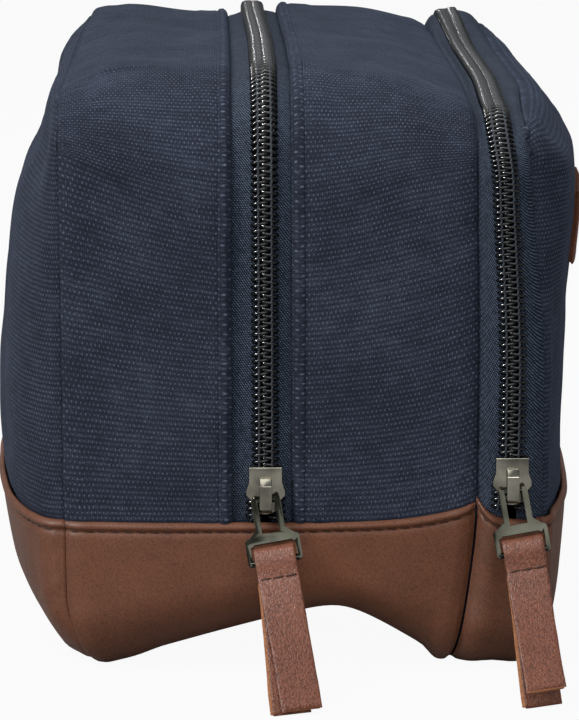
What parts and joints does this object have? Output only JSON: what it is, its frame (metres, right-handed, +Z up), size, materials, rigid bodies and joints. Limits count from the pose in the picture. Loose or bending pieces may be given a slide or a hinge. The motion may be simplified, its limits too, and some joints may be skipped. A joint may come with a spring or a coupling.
{
  "type": "shaving kit bag",
  "caption": "Soft canvas wash bag with zipped compartments, a wrapped leather base, coil zips and leather pull tabs on metal rings.",
  "frame": {"origin": "middle of the flat base, on the surface the bag stands on", "axes": "+X along the length, away from the zip pulls; +Y towards the back panel, away from the front compartment; +Z up"},
  "size_m": [0.2764, 0.1679, 0.1634],
  "materials": {
    "canvas": "coarse plain weave",
    "lining": "plain lining cloth",
    "binding": "woven binding tape",
    "brown_thread": "twisted thread",
    "navy_thread": "twisted thread",
    "patch_leather": "smooth",
    "base_leather": "smooth, slightly glossy",
    "tab_leather": "pebbled",
    "zip_tape": "fine twill",
    "coil": "glossy",
    "gunmetal": "polished gunmetal plating"
  },
  "bodies": {
    "bag": {"back_panel_canvas": "canvas", "back_panel_leather": "base_leather", "main_gusset_canvas_rear": "canvas", "main_gusset_canvas_front": "canvas", "main_base_leather": "base_leather", "front_panel_canvas": "canvas", "front_panel_leather": "base_leather", "front_base_leather": "base_leather", "divider_panel": "lining", "main_lining_gusset": "lining", "main_lining_back": "lining", "front_lining_gusset": "lining", "front_lining_panel": "lining", "back_seam_binding": "binding", "divider_seam_binding": "binding", "front_seam_binding": "binding", "leather_patch": "patch_leather", "patch_stitching": "brown_thread", "base_edge_stitching": "brown_thread", "main_zip_stitching": "navy_thread", "main_zip_tape_rear": "zip_tape", "main_zip_tape_front": "zip_tape", "main_zip_coil_rear": "coil", "main_zip_coil_front": "coil", "front_zip_tape_rear": "zip_tape", "front_zip_tape_front": "zip_tape", "front_zip_coil_rear": "coil", "front_zip_coil_front": "coil"},
    "main_slider": {"main_zip_slider": "gunmetal", "main_zip_slider_bridge": "gunmetal"},
    "main_ring": {"main_zip_pull_ring": "gunmetal"},
    "main_tab": {"main_zip_pull_tab": "tab_leather", "main_zip_tab_stitch": "brown_thread"},
    "front_slider": {"front_zip_slider": "gunmetal", "front_zip_slider_bridge": "gunmetal"},
    "front_ring": {"front_zip_pull_ring": "gunmetal"},
    "front_tab": {"front_zip_pull_tab": "tab_leather", "front_zip_tab_stitch": "brown_thread"}
  },
  "joints": [
    {"name": "main_zip_slide", "type": "slide", "parent": "bag", "child": "main_slider", "axis": [0, 0, 1], "range_m": [0, 0.07], "deforming": ["main_zip_coil_rear", "main_zip_coil_front"]},
    {"name": "main_ring_swing", "type": "hinge", "parent": "main_slider", "child": "main_ring", "pos_m": [-0.1247, 0.01025, 0.0507], "axis": [0, 0.9848, -0.1736], "range_deg": [-18.2, 111.8]},
    {"name": "main_tab_swing", "type": "hinge", "parent": "main_ring", "child": "main_tab", "pos_m": [-0.13255, 0.00771, 0.03629], "axis": [0, -0.9848, 0.1736], "range_deg": [-60, 30]},
    {"name": "front_zip_slide", "type": "slide", "parent": "bag", "child": "front_slider", "axis": [0, 0, 1], "range_m": [0, 0.07], "deforming": ["front_zip_coil_rear", "front_zip_coil_front"]},
    {"name": "front_ring_swing", "type": "hinge", "parent": "front_slider", "child": "front_ring", "pos_m": [-0.1243, -0.0559, 0.0528], "axis": [0, 0.9848, -0.1736], "range_deg": [-13.2, 116.8]},
    {"name": "front_tab_swing", "type": "hinge", "parent": "front_ring", "child": "front_tab", "pos_m": [-0.13083, -0.05855, 0.03777], "axis": [0, -0.9848, 0.1736], "range_deg": [-60, 30]}
  ]
}
